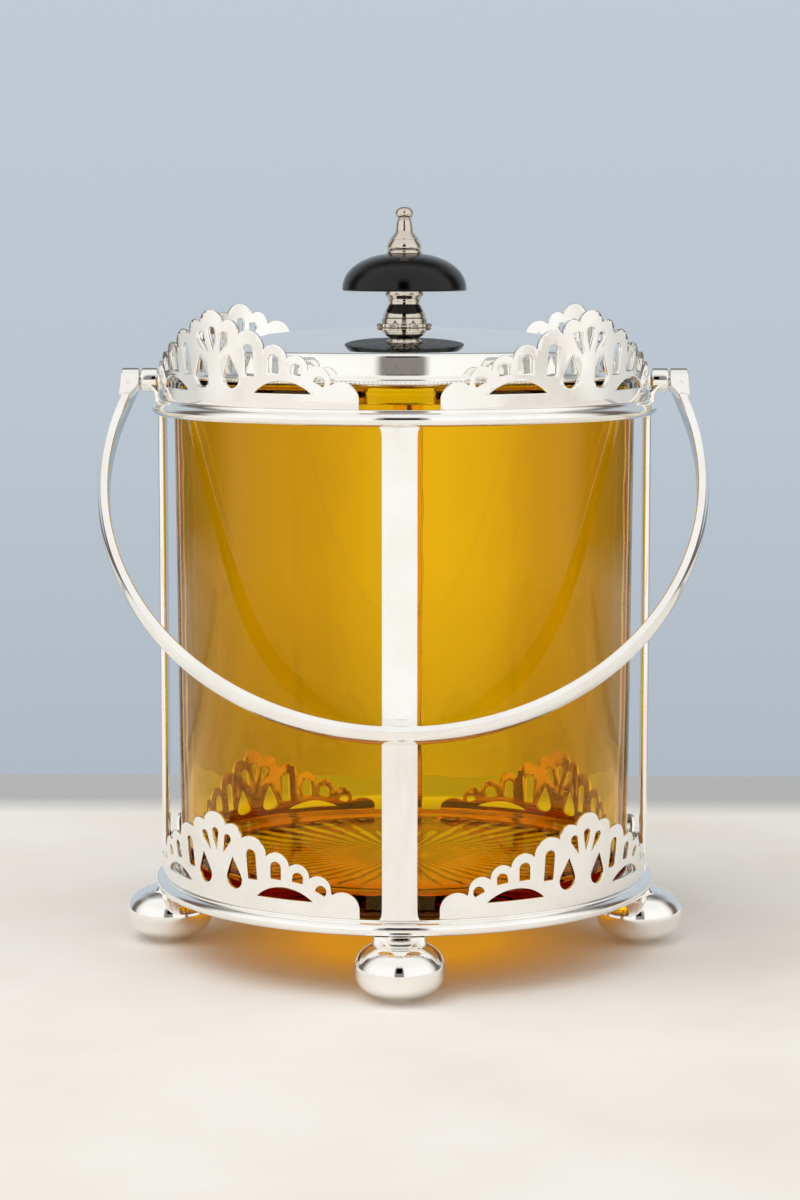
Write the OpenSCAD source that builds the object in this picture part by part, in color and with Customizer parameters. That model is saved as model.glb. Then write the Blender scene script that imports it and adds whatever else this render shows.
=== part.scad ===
// Biscuit jar: an amber glass liner in a silver frame with four pierced fan galleries above and
// four below, a lift-off lid with a mushroom knob, and a bow handle on two side pivots.
// Millimetres. The jar stands on z = 0 around the z axis; the front is -Y.

/* [Rings] */
// outside diameter of the upper and lower ring at the moulding
ring_d = 144; // [142:0.5:147]
// height of the upper ring's underside above the table
upper_ring_z = 154.1; // [148:0.1:158]
// height of each ring
ring_h = 4.4; // [4.2:0.1:5.5]
// diameter of the rounded moulding around each ring
ring_bead_d = 3.7; // [3.2:0.1:4]
// thickness of the flat band behind the moulding
ring_band_t = 1.8; // [1.5:0.1:2.2]
// width of the inward ledge that carries the liner
ledge_w = 7; // [5:0.5:10]
// thickness of that ledge
ledge_t = 1.5; // [1:0.1:2]
// height of the ledge's underside above the ring's underside
ledge_rise = 0.9; // [0:0.1:1.5]

/* [Feet] */
// diameter of a ball foot
foot_d = 25; // [22:0.5:26]
// height of the squashed ball
foot_ball_h = 16.8; // [15:0.1:18]
// diameter of the neck above the ball
foot_neck_d = 13.2; // [11:0.1:14]
// height of the neck between the ball and the ring
foot_neck_h = 0.8; // [0.4:0.1:3]
// how far a foot's axis stands in from the ring's edge
foot_set_in = 3.5; // [2:0.5:6]
// diameter of the flat that stands on the table
foot_flat_d = 9; // [6:0.5:12]

/* [Posts] */
// width of a post
post_w = 9.6; // [7:0.1:11]
// thickness of a post at its middle
post_t = 2.2; // [1.8:0.1:2.6]
// rise of the post's rounded outer face
post_crown = 0.6; // [0.3:0.1:0.9]
// how far a post's outer face stands out beyond the ring's band
post_proud = 0.45; // [0:0.05:0.8]

/* [Galleries] */
// angle that one gallery spans
gallery_span = 72; // [66:1:76]
// height of a gallery at the peak of its fan
gallery_h = 26; // [22:0.5:29]
// thickness of the plate
gallery_t = 1; // [0.8:0.1:1.2]
// angle by which a gallery leans outward
gallery_flare = 6; // [3:0.5:8]

/* [Glass liner] */
// gap between the liner's mouth and the rings
glass_gap = 2.65; // [2.2:0.05:3.5]
// how much further in the wall stands at the base
glass_taper = 1; // [0.3:0.1:2]
// height of the rim above the table
glass_rim_z = 164.6; // [162:0.1:166]
// wall thickness
glass_wall = 3.8; // [3:0.1:4.5]
// thickness of the base
glass_base_t = 5.5; // [4:0.5:8]
// radius of the outer corner at the base
glass_corner_r = 3.5; // [2:0.5:5]

/* [Lid] */
// how far the lid's upright band stands out beyond the liner
lid_band_over = 0.6; // [0.2:0.1:1]
// height of the upright band and flange together
lid_band_h = 8.4; // [7:0.1:10]
// rise of the shallow dome above the band
lid_dome_rise = 5.2; // [3:0.1:6.5]
// radius of the rounded edge between dome and band
lid_edge_r = 1.2; // [0.8:0.1:1.6]
// how far the flange stands out beyond the band
lid_flange_over = 1.4; // [1:0.1:1.6]
// height of the flange
lid_flange_h = 1.9; // [1.6:0.1:2.4]
// thickness of the lid's sheet
lid_t = 1.2; // [1:0.1:1.5]
// diameter of the beaded wire
bead_wire_d = 1.1; // [0.9:0.1:1.3]
// depth of the locating collar below the lid
collar_drop = 5.5; // [4:0.5:8]
// thickness of the locating collar
collar_t = 1.2; // [1:0.1:1.5]
// gap between the collar and the liner's mouth
collar_gap = 0.5; // [0.3:0.1:1]

/* [Knob] */
// height of the turned pedestal
pedestal_h = 10.3; // [10:0.1:12]
// diameter of the pedestal's body
pedestal_d = 12.9; // [12:0.1:13.4]
// diameter of the knurled collar at the pedestal's foot
knurl_d = 15.8; // [14.6:0.1:17]
// height of the knurled collar
knurl_h = 1.1; // [0.8:0.1:1.6]
// number of teeth round the collar
knurl_teeth = 20; // [16:1:24]
// depth of the gaps between the teeth
knurl_depth = 0.6; // [0.4:0.1:0.8]
// diameter of the black mushroom
mushroom_d = 35.6; // [32:0.2:38]
// height of the mushroom
mushroom_h = 10.6; // [9.8:0.1:11.5]
// radius of the mushroom's shoulder, which stands square on its flat underside
mushroom_rim_r = 8.5; // [7:0.1:9]
// diameter of the bead above the mushroom
knob_bead_d = 9.6; // [8.6:0.1:10.4]
// height of the bead and its washer
knob_bead_h = 4; // [3.6:0.1:4.6]
// height of the finial
finial_h = 9.2; // [8:0.1:11]
// diameter of the finial's ball
finial_ball_d = 5.1; // [4.6:0.1:5.6]
// diameter of the stud through the knob
stud_d = 3; // [2.4:0.1:3.4]
// length of the stud beyond the nut
stud_end = 1; // [0.5:0.1:1.6]
// length of the stud inside the finial
stud_hold = 1.6; // [1.2:0.1:2]
// width across the corners of the nut under the lid
nut_d = 8; // [7:0.1:9]

/* [Handle] */
// height of the pivot axis above the upper ring's underside
pivot_rise = 9.5; // [9:0.1:10.5]
// diameter of the pivot lugs and knuckles
barrel_d = 7; // [6.4:0.1:7.4]
// length of a knuckle
knuckle_l = 5.35; // [5:0.05:6]
// length of a lug's barrel
lug_l = 4.8; // [4.4:0.1:5]
// how far the lug's barrel reaches in over the ring
lug_overlap = 1.5; // [1:0.1:2]
// diameter of a pivot pin
pin_d = 3.2; // [2.6:0.1:3.6]
// thickness left beyond each end of a pin
pin_cover = 1.3; // [1:0.1:1.6]
// distance of the bow's centre below the pivot axis
bow_centre_drop = 34; // [33:0.5:36]
// angle above the centre at which the bow runs on straight
bow_turn = 16; // [13:0.5:18]
// width of the strip
bow_w = 6.8; // [5.2:0.1:7]
// thickness of the strip at its middle
bow_t = 3.2; // [2.6:0.1:3.6]
// rise of the strip's rounded outer face
bow_crown = 1.1; // [0.6:0.1:1.8]

/* [Clearances] */
// gap between pieces that lift off or rest on one another
seat_gap = 0.3; // [0.25:0.05:0.5]
// gap between a lug and its knuckle
side_gap = 0.35; // [0.3:0.05:0.5]
// running gap around a pivot pin
pin_gap = 0.05; // [0.03:0.01:0.08]

/* [Hidden] */
$fn = 96;
sphere_fn = 720;

ring_r = ring_d / 2;
ring_bead_r = ring_bead_d / 2;
band_r = ring_r - ring_bead_r;
ring_in_r = band_r - ring_band_t;
lower_ring_z = foot_ball_h + foot_neck_h;
lower_top_z = lower_ring_z + ring_h;
upper_top_z = upper_ring_z + ring_h;
ledge_top_z = lower_ring_z + ledge_rise + ledge_t;

foot_circle_r = ring_r - foot_set_in;
post_face_r = band_r + post_proud;

gallery_r = band_r - 0.2;
gallery_lean = gallery_h * tan(gallery_flare);
// share of the way to the lobe before it that the plate under a lobe reaches back
lobe_reach = 0.6;
cut_margin = 10;
cut_from_r = gallery_r - cut_margin;
cut_depth = gallery_lean + 2 * cut_margin;

// The fan's lobes: place along the half length, height of the centre and radius, as shares of
// the half length and of the height, from the peak out to the rounded end.
lobes = [
    [0, 0.815, 0.185],
    [0.148, 0.776, 0.125],
    [0.293, 0.612, 0.184],
    [0.472, 0.504, 0.150],
    [0.615, 0.417, 0.131],
    [0.748, 0.304, 0.135],
    [0.898, 0.100, 0.181]
];

// The arched openings under the lobes: place, height of the sill, width and height as shares,
// then the sill's tilt in degrees.
arches = [
    [0.288, 0.325, 0.118, 0.325, 0],
    [0.462, 0.360, 0.123, 0.190, 3],
    [0.610, 0.345, 0.119, 0.112, 9],
    [0.756, 0.250, 0.115, 0.088, 28]
];

// The long low opening: place, sill, width and height as shares.
low_arch = [0.510, 0.154, 0.395, 0.127];

// The drops beside the trunk: place, height of the centre, radius and length of the point.
drops = [0.136, 0.302, 0.108, 0.236];

// The petals of the fan: height of the lower point, radius, length and spread in degrees.
petals = [0.560, 0.047, 0.185, 27];

glass_r = ring_in_r - glass_gap;
glass_base_r = glass_r - glass_taper;
glass_z = ledge_top_z + seat_gap;
glass_in_r = glass_r - glass_wall;
glass_in_base_r = glass_base_r - glass_wall;
glass_lip_r = glass_wall / 2;

lid_z = glass_rim_z + seat_gap;
lid_r = glass_r + lid_band_over;
lid_flange_r = lid_r + lid_flange_over;
lid_edge_z = lid_z + lid_band_h;
lid_top_z = lid_edge_z + lid_dome_rise;
lid_dome_run = lid_r - lid_edge_r;
// radius of the dome that runs tangent into the rounded edge
lid_dome_r = (lid_dome_run * lid_dome_run + pow(lid_dome_rise + lid_edge_r, 2)
    - lid_edge_r * lid_edge_r) / (2 * lid_dome_rise);
collar_r = glass_in_r - collar_gap;
bead_wire_z = lid_z + bead_wire_d / 2;

stud_r = stud_d / 2;
pedestal_z = lid_top_z;
pedestal_r = pedestal_d / 2;
mushroom_z = pedestal_z + pedestal_h;
mushroom_r = mushroom_d / 2;
mushroom_rim_x = mushroom_r - mushroom_rim_r;
mushroom_full_h = mushroom_h + 0.4;
// radius of the dome that runs tangent into the shoulder
mushroom_dome_r = (mushroom_rim_x * mushroom_rim_x + mushroom_full_h * mushroom_full_h
    - mushroom_rim_r * mushroom_rim_r) / (2 * (mushroom_full_h - mushroom_rim_r));
knob_bead_z = mushroom_z + mushroom_h;
knob_washer_h = 0.8;
finial_z = knob_bead_z + knob_bead_h;
finial_cone_h = 2.2;
finial_stem_r = 2.05;
finial_ball_r = finial_ball_d / 2;
nut_h = 2.6;
nut_washer_h = 0.8;
nut_washer_r = nut_d * 0.75;
// The lid's underside where the washer's edge meets it.
lid_under_r = lid_dome_r - lid_t;
lid_under_z = lid_top_z - lid_dome_r + sqrt(lid_under_r * lid_under_r - nut_washer_r * nut_washer_r);
stud_z = lid_under_z - nut_washer_h - nut_h - stud_end;
stud_top_z = finial_z + stud_hold;

pivot_z = upper_ring_z + pivot_rise;
barrel_r = barrel_d / 2;
pin_r = pin_d / 2;
lug_in_x = ring_r - lug_overlap;
lug_out_x = lug_in_x + lug_l;
knuckle_x = lug_out_x + side_gap;
knuckle_out_x = knuckle_x + knuckle_l;
pin_in_x = lug_in_x + pin_cover;
pin_out_x = knuckle_out_x - pin_cover - seat_gap;
// Where the strip's inner face would cross the pivot axis; it sets the radius of that face.
bow_foot_x = knuckle_x + knuckle_l / 2 - bow_t / 2 - barrel_r * tan(bow_turn);
bow_r = bow_foot_x * cos(bow_turn) + bow_centre_drop * sin(bow_turn);
bow_rise = bow_centre_drop - bow_r * sin(bow_turn);
bow_run = bow_rise / cos(bow_turn) - barrel_r / 2;
bow_crown_r = (bow_w * bow_w / 4 + bow_crown * bow_crown) / (2 * bow_crown);
post_crown_r = (post_w * post_w / 4 + post_crown * post_crown) / (2 * post_crown);

// The handle hangs forward until the inner rear edge of its bow lies against the front post.
bow_reach = norm([bow_centre_drop + bow_r, bow_w / 2]);
rest_angle = atan(bow_w / 2 / (bow_centre_drop + bow_r))
    + asin((post_face_r + seat_gap) / bow_reach);

silver = [0.86, 0.87, 0.88];
warm_silver = [0.78, 0.75, 0.71];
amber = [0.80, 0.54, 0.05, 0.6];
black = [0.06, 0.06, 0.07];

SIDES = ["front", "right", "back", "left"];
CORNERS = ["front_right", "back_right", "back_left", "front_left"];
ENDS = ["left", "right"];

// which node to build, or all of them

// A moulded ring: a flat band with a round moulding outside it.
module ring_section() {
    translate([ring_in_r, 0])
        square([ring_band_t, ring_h]);
    translate([band_r, ring_bead_r])
        circle(ring_bead_r);
}

module upper_ring() {
    color(silver)
        translate([0, 0, upper_ring_z])
            rotate_extrude()
                ring_section();
}

// The lower ring also has the ledge that the liner stands on.
module lower_ring() {
    color(silver)
        translate([0, 0, lower_ring_z])
            rotate_extrude()
                union() {
                    ring_section();
                    translate([ring_in_r - ledge_w, ledge_rise])
                        square([ledge_w + ring_band_t / 2, ledge_t]);
                }
}

// A flat post with a gently rounded outer face, between the two rings.
module post(azimuth) {
    color(silver)
        rotate([0, 0, azimuth])
            translate([0, 0, lower_top_z])
                linear_extrude(upper_ring_z - lower_top_z)
                    intersection() {
                        translate([-post_w / 2, -post_face_r])
                            square([post_w, post_t]);
                        translate([0, post_crown_r - post_face_r])
                            circle(post_crown_r);
                    }
}

// A flat shape in the plate's own plane, cut through the wall at one place along it.
module radial_cut(place) {
    rotate([0, 0, place * gallery_span / 2])
        translate([0, -cut_from_r, 0])
            rotate([90, 0, 0])
                linear_extrude(cut_depth)
                    children();
}

// One lobe with the plate beneath it, which reaches back at least as far as the lobe before it.
module lobe(lobe_size, reach) {
    lobe_r = lobe_size[2] * gallery_h;
    lobe_z = lobe_size[1] * gallery_h;
    back_w = max(lobe_r, reach);
    translate([0, lobe_z])
        circle(lobe_r);
    translate([-back_w, 0])
        square([back_w + lobe_r, lobe_z]);
}

// An opening with a flat sill and a round head.
module arch(arch_size) {
    arch_w = arch_size[2] * gallery_h;
    arch_h = arch_size[3] * gallery_h;
    translate([0, arch_h - arch_w / 2])
        circle(arch_w / 2);
    translate([-arch_w / 2, 0])
        square([arch_w, arch_h - arch_w / 2]);
}

// The long low opening, a segment of a circle on a flat sill.
module segment() {
    half_w = low_arch[2] * PI * gallery_r * gallery_span / 360 / 2;
    rise = low_arch[3] * gallery_h;
    segment_r = (half_w * half_w + rise * rise) / (2 * rise);
    intersection() {
        translate([0, rise - segment_r])
            circle(segment_r);
        translate([-segment_r, 0])
            square([2 * segment_r, 2 * rise]);
    }
}

// A drop: a circle of radius drop_r with a point drop_l above its centre.
module drop(drop_r, drop_l) {
    point_r = 0.92 * drop_r;
    circle(drop_r);
    polygon([[0, drop_l], [-point_r, 0], [point_r, 0]]);
}

module petal() {
    translate([0, petals[2] * gallery_h])
        rotate([0, 0, 180])
            drop(petals[1] * gallery_h, petals[2] * gallery_h);
}

// A pierced fan gallery, centred on the front, with its foot on z = 0.
module gallery_plate() {
    difference() {
        intersection() {
            rotate_extrude()
                polygon([
                    [gallery_r - gallery_t, 0],
                    [gallery_r, 0],
                    [gallery_r + gallery_lean, gallery_h],
                    [gallery_r - gallery_t + gallery_lean, gallery_h]
                ]);
            union() {
                radial_cut(0)
                    lobe(lobes[0], 0);
                for (i = [1:len(lobes) - 1]) {
                    pitch = (lobes[i][0] - lobes[i - 1][0]) * PI * gallery_r * gallery_span / 360;
                    for (turn = [0, 1]) {
                        mirror([turn, 0, 0])
                            radial_cut(lobes[i][0])
                                lobe(lobes[i], lobe_reach * pitch);
                    }
                }
            }
        }
        for (side = [-1, 1]) {
            for (arch_size = arches) {
                radial_cut(side * arch_size[0])
                    translate([0, arch_size[1] * gallery_h])
                        rotate([0, 0, -side * arch_size[4]])
                            arch(arch_size);
            }
            radial_cut(side * low_arch[0])
                translate([0, low_arch[1] * gallery_h])
                    segment();
            radial_cut(side * drops[0])
                translate([0, drops[1] * gallery_h])
                    drop(drops[2] * gallery_h, drops[3] * gallery_h);
        }
        for (petal_side = [-1, 0, 1]) {
            radial_cut(petal_side * 0.055)
                translate([0, (petals[0] + 0.03 * (1 - abs(petal_side))) * gallery_h])
                    rotate([0, 0, -petal_side * petals[3]])
                        petal();
        }
    }
}

module gallery(azimuth, foot_z) {
    color(silver)
        translate([0, 0, foot_z])
            rotate([0, 0, azimuth])
                gallery_plate();
}

// Half of the squashed ball's outline: a small arc at the side runs tangent into flatter arcs
// above and below.
module foot_outline() {
    side_r = foot_ball_h * 0.4;
    side_x = foot_d / 2 - side_r;
    half_h = foot_ball_h / 2;
    cap_r = (side_x * side_x + half_h * half_h - side_r * side_r) / (2 * (half_h - side_r));
    cap_x = side_x * cap_r / (cap_r - side_r);
    intersection() {
        translate([0, cap_r])
            circle(cap_r, $fn = sphere_fn / 2);
        translate([0, foot_ball_h - cap_r])
            circle(cap_r, $fn = sphere_fn / 2);
        square([cap_x, foot_ball_h]);
    }
    translate([side_x, half_h])
        circle(side_r);
}

// A ball foot turned with its neck; the neck stays behind the ring's moulding.
module foot(azimuth) {
    neck_r = foot_neck_d / 2;
    neck_z = foot_ball_h * 0.8;
    color(silver)
        rotate([0, 0, azimuth])
            union() {
                intersection() {
                    translate([0, -foot_circle_r, neck_z])
                        cylinder(h = lower_ring_z - neck_z, r = neck_r);
                    cylinder(h = lower_ring_z, r = band_r + ring_bead_r / 2);
                }
                translate([0, -foot_circle_r, 0])
                    rotate_extrude()
                        intersection() {
                            foot_outline();
                            square([foot_d, foot_ball_h]);
                        }
                translate([0, -foot_circle_r, 0])
                    cylinder(h = 1, r = foot_flat_d / 2);
            }
}

// A pivot lug: a short barrel on a web that stands on the upper ring; the pin is fixed in it.
module pivot_lug(side) {
    web_in_x = ring_in_r + 0.2;
    web_out_x = lug_out_x - 1.8;
    web_z = upper_ring_z + ring_h / 2;
    color(silver)
        difference() {
            mirror([side == "left" ? 1 : 0, 0, 0])
                union() {
                    translate([lug_in_x, 0, pivot_z])
                        rotate([0, 90, 0])
                            cylinder(h = lug_l, r = barrel_r);
                    translate([0, barrel_r, 0])
                        rotate([90, 0, 0])
                            linear_extrude(barrel_d)
                                polygon([
                                    [web_in_x, web_z],
                                    [ring_r - 0.4, web_z],
                                    [web_out_x, pivot_z - barrel_r * 0.7],
                                    [web_out_x, pivot_z],
                                    [lug_in_x, pivot_z],
                                    [web_in_x, upper_top_z + 1]
                                ]);
                }
            translate([0, 0, upper_ring_z])
                rotate_extrude()
                    ring_section();
            pin_shape(side, pin_r);
        }
}

module pin_shape(side, r) {
    mirror([side == "left" ? 1 : 0, 0, 0])
        translate([pin_in_x, 0, pivot_z])
            rotate([0, 90, 0])
                cylinder(h = pin_out_x - pin_in_x, r = r);
}

module pivot_pin(side) {
    color(silver)
        pin_shape(side, pin_r);
}

// Turns the handle about the pivot axis from hanging straight down to its rest.
module at_rest() {
    translate([0, 0, pivot_z])
        rotate([-rest_angle, 0, 0])
            children();
}

// The strip's section: flat inside, gently rounded outside.
module bow_section() {
    intersection() {
        translate([bow_r, -bow_w / 2])
            square([bow_t, bow_w]);
        translate([bow_r + bow_t - bow_crown_r, 0])
            circle(bow_crown_r);
    }
}

module knuckle_barrel() {
    translate([knuckle_x, 0, 0])
        rotate([0, 90, 0])
            cylinder(h = knuckle_l, r = barrel_r);
}

// The bow: an arc of the strip with a straight run up to each knuckle.
module bow() {
    color(silver)
        at_rest()
            difference() {
                translate([0, 0, -bow_centre_drop])
                    rotate([90, 0, 0])
                        union() {
                            rotate([0, 0, -180 - bow_turn])
                                rotate_extrude(angle = 180 + 2 * bow_turn)
                                    bow_section();
                            for (turn = [0, 1]) {
                                mirror([turn, 0, 0])
                                    rotate([0, 0, bow_turn])
                                        translate([0, bow_run, 0])
                                            rotate([90, 0, 0])
                                                linear_extrude(bow_run)
                                                    bow_section();
                            }
                        }
                for (turn = [0, 1]) {
                    mirror([turn, 0, 0])
                        knuckle_barrel();
                }
            }
}

// A knuckle: the barrel that turns on the pin in a blind bore.
module knuckle(side) {
    color(silver)
        difference() {
            at_rest()
                mirror([side == "left" ? 1 : 0, 0, 0])
                    knuckle_barrel();
            mirror([side == "left" ? 1 : 0, 0, 0])
                translate([pin_in_x, 0, pivot_z])
                    rotate([0, 90, 0])
                        cylinder(h = pin_out_x + seat_gap - pin_in_x, r = pin_r + pin_gap);
        }
}

// The liner: a slightly tapered tumbler with a thick base and a rounded rim.
module glass_liner() {
    rim_z = glass_rim_z - glass_lip_r;
    floor_z = glass_z + glass_base_t;
    color(amber)
        rotate_extrude()
            union() {
                difference() {
                    union() {
                        polygon([
                            [0, glass_z],
                            [glass_base_r - glass_corner_r, glass_z],
                            [glass_base_r, glass_z + glass_corner_r],
                            [glass_r, rim_z],
                            [0, rim_z]
                        ]);
                        translate([glass_base_r - glass_corner_r, glass_z + glass_corner_r])
                            circle(glass_corner_r);
                    }
                    polygon([
                        [0, floor_z],
                        [glass_in_base_r - glass_corner_r, floor_z],
                        [glass_in_base_r, floor_z + glass_corner_r],
                        [glass_in_r, rim_z + 1],
                        [0, rim_z + 1]
                    ]);
                }
                translate([glass_in_r + glass_lip_r, rim_z])
                    circle(glass_lip_r);
            }
}

// Half of a shallow dome over the band, with its rounded edge; every face stands in by inset.
module lid_outline(inset) {
    tangent_x = lid_dome_run * (lid_dome_r - inset) / (lid_dome_r - lid_edge_r);
    intersection() {
        translate([0, lid_top_z - lid_dome_r])
            circle(lid_dome_r - inset, $fn = sphere_fn);
        translate([0, lid_z])
            square([tangent_x, lid_band_h + lid_dome_rise]);
    }
    translate([0, lid_z])
        square([lid_r - inset, lid_band_h - lid_edge_r]);
    translate([lid_r - lid_edge_r, lid_edge_z - lid_edge_r])
        circle(max(lid_edge_r - inset, 0.01));
}

// The lid: a thin dome with an upright band, a flange outside and a seat for the glass rim inside.
module lid_dome() {
    cove_r = lid_flange_r - lid_r;
    color(silver)
        rotate_extrude()
            difference() {
                union() {
                    lid_outline(0);
                    difference() {
                        translate([0, lid_z])
                            square([lid_flange_r, lid_flange_h]);
                        translate([lid_flange_r, lid_z + lid_flange_h])
                            circle(cove_r / 2);
                    }
                }
                difference() {
                    lid_outline(lid_t);
                    translate([collar_r, lid_z])
                        square([glass_r, lid_t]);
                }
                square([stud_r, lid_top_z + 1]);
                translate([lid_flange_r, bead_wire_z])
                    circle(bead_wire_d / 2);
            }
}

module lid_bead_wire() {
    color(silver)
        translate([0, 0, bead_wire_z])
            rotate_extrude()
                translate([lid_flange_r, 0])
                    circle(bead_wire_d / 2);
}

// The collar drops inside the liner's mouth and keeps the lid central.
module lid_collar() {
    color(silver)
        translate([0, 0, lid_z - collar_drop])
            difference() {
                cylinder(h = collar_drop + lid_t, r = collar_r);
                translate([0, 0, -1])
                    cylinder(h = collar_drop + lid_t + 2, r = collar_r - collar_t);
            }
}

// The turned pedestal: a round body with a groove above it, a bell, a neck and a flare under
// the mushroom.
module knob_pedestal() {
    body_h = 2.7;
    groove = 0.25;
    bell_r = pedestal_r - 2 * groove;
    bell_z = body_h + groove;
    neck_r = pedestal_r * 0.69;
    neck_z = 6.6;
    flare_r = pedestal_r * 0.84;
    flare_h = 1.2;
    taper_h = 1.1;
    color(warm_silver)
        translate([0, 0, pedestal_z])
            rotate_extrude()
                difference() {
                    union() {
                        square([pedestal_r, body_h]);
                        square([neck_r, pedestal_h]);
                        polygon([
                            [0, body_h],
                            [bell_r, body_h],
                            [bell_r, bell_z],
                            [bell_r, bell_z + 0.8],
                            [neck_r + 0.3, neck_z - 0.6],
                            [neck_r, neck_z],
                            [0, neck_z]
                        ]);
                        polygon([
                            [0, pedestal_h - flare_h - taper_h],
                            [neck_r, pedestal_h - flare_h - taper_h],
                            [flare_r, pedestal_h - flare_h],
                            [flare_r, pedestal_h],
                            [0, pedestal_h]
                        ]);
                    }
                    square([stud_r, pedestal_h + 1]);
                }
}

// The knurled collar: a flat ring round the pedestal's foot with square gaps cut in its edge.
module knob_knurl() {
    knurl_r = knurl_d / 2;
    gap_w = 0.4 * PI * knurl_d / knurl_teeth;
    color(warm_silver)
        translate([0, 0, pedestal_z])
            difference() {
                cylinder(h = knurl_h, r = knurl_r);
                translate([0, 0, -1])
                    cylinder(h = knurl_h + 2, r = pedestal_r);
                for (i = [0:knurl_teeth - 1]) {
                    rotate([0, 0, 360 * i / knurl_teeth])
                        translate([knurl_r - knurl_depth, -gap_w / 2, -1])
                            cube([2 * knurl_depth, gap_w, knurl_h + 2]);
                }
            }
}

// The mushroom: a dome that runs tangent into a round shoulder, flat beneath and where the bead sits.
module knob_mushroom() {
    tangent_x = mushroom_rim_x * mushroom_dome_r / (mushroom_dome_r - mushroom_rim_r);
    color(black)
        translate([0, 0, mushroom_z])
            rotate_extrude()
                difference() {
                    intersection() {
                        union() {
                            intersection() {
                                translate([0, mushroom_full_h - mushroom_dome_r])
                                    circle(mushroom_dome_r, $fn = sphere_fn / 2);
                                square([tangent_x, mushroom_full_h]);
                            }
                            translate([mushroom_rim_x, 0])
                                circle(mushroom_rim_r);
                        }
                        square([mushroom_r, mushroom_h]);
                    }
                    square([stud_r, mushroom_h]);
                }
}

// The washer and round bead between mushroom and finial.
module knob_bead() {
    round_r = (knob_bead_h - knob_washer_h) / 2;
    color(warm_silver)
        translate([0, 0, knob_bead_z])
            rotate_extrude()
                difference() {
                    union() {
                        square([knob_bead_d / 2 + 0.2, knob_washer_h]);
                        square([knob_bead_d / 2 - round_r, knob_bead_h]);
                        translate([knob_bead_d / 2 - round_r, knob_washer_h + round_r])
                            circle(round_r);
                    }
                    square([stud_r, knob_bead_h]);
                }
}

// The finial: a cone, a stem and a ball, screwed on to the stud.
module finial() {
    color(warm_silver)
        difference() {
            union() {
                translate([0, 0, finial_z])
                    cylinder(h = finial_cone_h, r1 = finial_stem_r + 2, r2 = finial_stem_r);
                translate([0, 0, finial_z])
                    cylinder(h = finial_h - finial_ball_r, r = finial_stem_r);
                translate([0, 0, finial_z + finial_h - finial_ball_r])
                    sphere(finial_ball_r);
            }
            stud_shape();
        }
}

module stud_shape() {
    translate([0, 0, stud_z])
        cylinder(h = stud_top_z - stud_z, r = stud_r);
}

module knob_stud() {
    color(warm_silver)
        stud_shape();
}

module lid_washer() {
    color(silver)
        translate([0, 0, lid_under_z - nut_washer_h])
            difference() {
                cylinder(h = nut_washer_h, r = nut_washer_r);
                translate([0, 0, -1])
                    cylinder(h = nut_washer_h + 2, r = stud_r);
            }
}

module lid_nut() {
    color(silver)
        translate([0, 0, lid_under_z - nut_washer_h - nut_h])
            difference() {
                cylinder(h = nut_h, r = nut_d / 2, $fn = 6);
                translate([0, 0, -1])
                    cylinder(h = nut_h + 2, r = stud_r);
            }
}

upper_ring();
lower_ring();
for (i = [0:3]) {
    post(90 * i);
    foot(90 * i);
    gallery(45 + 90 * i, upper_top_z);
    gallery(45 + 90 * i, lower_top_z);
}
for (side = ENDS) {
    pivot_lug(side);
    pivot_pin(side);
    knuckle(side);
}
bow();
glass_liner();
lid_dome();
lid_bead_wire();
lid_collar();
knob_pedestal();
knob_knurl();
knob_mushroom();
knob_bead();
finial();
knob_stud();
lid_washer();
lid_nut();
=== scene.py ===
# Looks of a biscuit jar: an amber glass liner in a silver-plated frame with pierced fan
# galleries, a lid with a black mushroom knob, and a bow handle. Sizes are in millimetres.
import math

import bmesh
import bpy
import numpy as np
from mathutils import Matrix, Vector


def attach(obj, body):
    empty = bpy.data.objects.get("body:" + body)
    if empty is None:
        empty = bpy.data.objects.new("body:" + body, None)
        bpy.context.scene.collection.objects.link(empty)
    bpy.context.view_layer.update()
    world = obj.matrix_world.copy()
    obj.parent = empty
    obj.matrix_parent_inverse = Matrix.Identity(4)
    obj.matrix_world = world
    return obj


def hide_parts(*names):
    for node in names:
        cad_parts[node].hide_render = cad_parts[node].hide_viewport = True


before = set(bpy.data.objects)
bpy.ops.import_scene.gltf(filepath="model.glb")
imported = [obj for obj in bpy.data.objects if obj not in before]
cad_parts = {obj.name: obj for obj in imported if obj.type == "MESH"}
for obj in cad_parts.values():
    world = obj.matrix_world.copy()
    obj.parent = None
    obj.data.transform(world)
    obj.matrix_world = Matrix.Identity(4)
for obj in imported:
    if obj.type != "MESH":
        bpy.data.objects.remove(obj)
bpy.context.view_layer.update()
mm = 0.001


# sRGB hex to linear: values up to 0.04045 are divided by 12.92, others follow the 2.4 power.
def hexColour(text):
    channels = [int(text[i:i + 2], 16) / 255 for i in (1, 3, 5)]
    linear = [c / 12.92 if c <= 0.04045 else ((c + 0.055) / 1.055) ** 2.4 for c in channels]
    return (*linear, 1.0)


# Adds a shader node of a kind with its settings and links. An input takes a number, a colour, or
# what feeds it: a socket, or a node, which stands for its first output.
def addNode(tree, kind, inputs=None, **settings):
    node = tree.nodes.new("ShaderNode" + kind)
    for key, value in settings.items():
        setattr(node, key, value)
    for key, value in (inputs or {}).items():
        if isinstance(value, bpy.types.Node):
            value = value.outputs[0]
        if isinstance(value, bpy.types.NodeSocket):
            tree.links.new(value, node.inputs[key])
        else:
            node.inputs[key].default_value = value
    return node


# An empty material and its node tree.
def newMaterial(name):
    material = bpy.data.materials.new(name)
    material.use_nodes = True
    material.node_tree.nodes.clear()
    return material, material.node_tree


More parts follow.
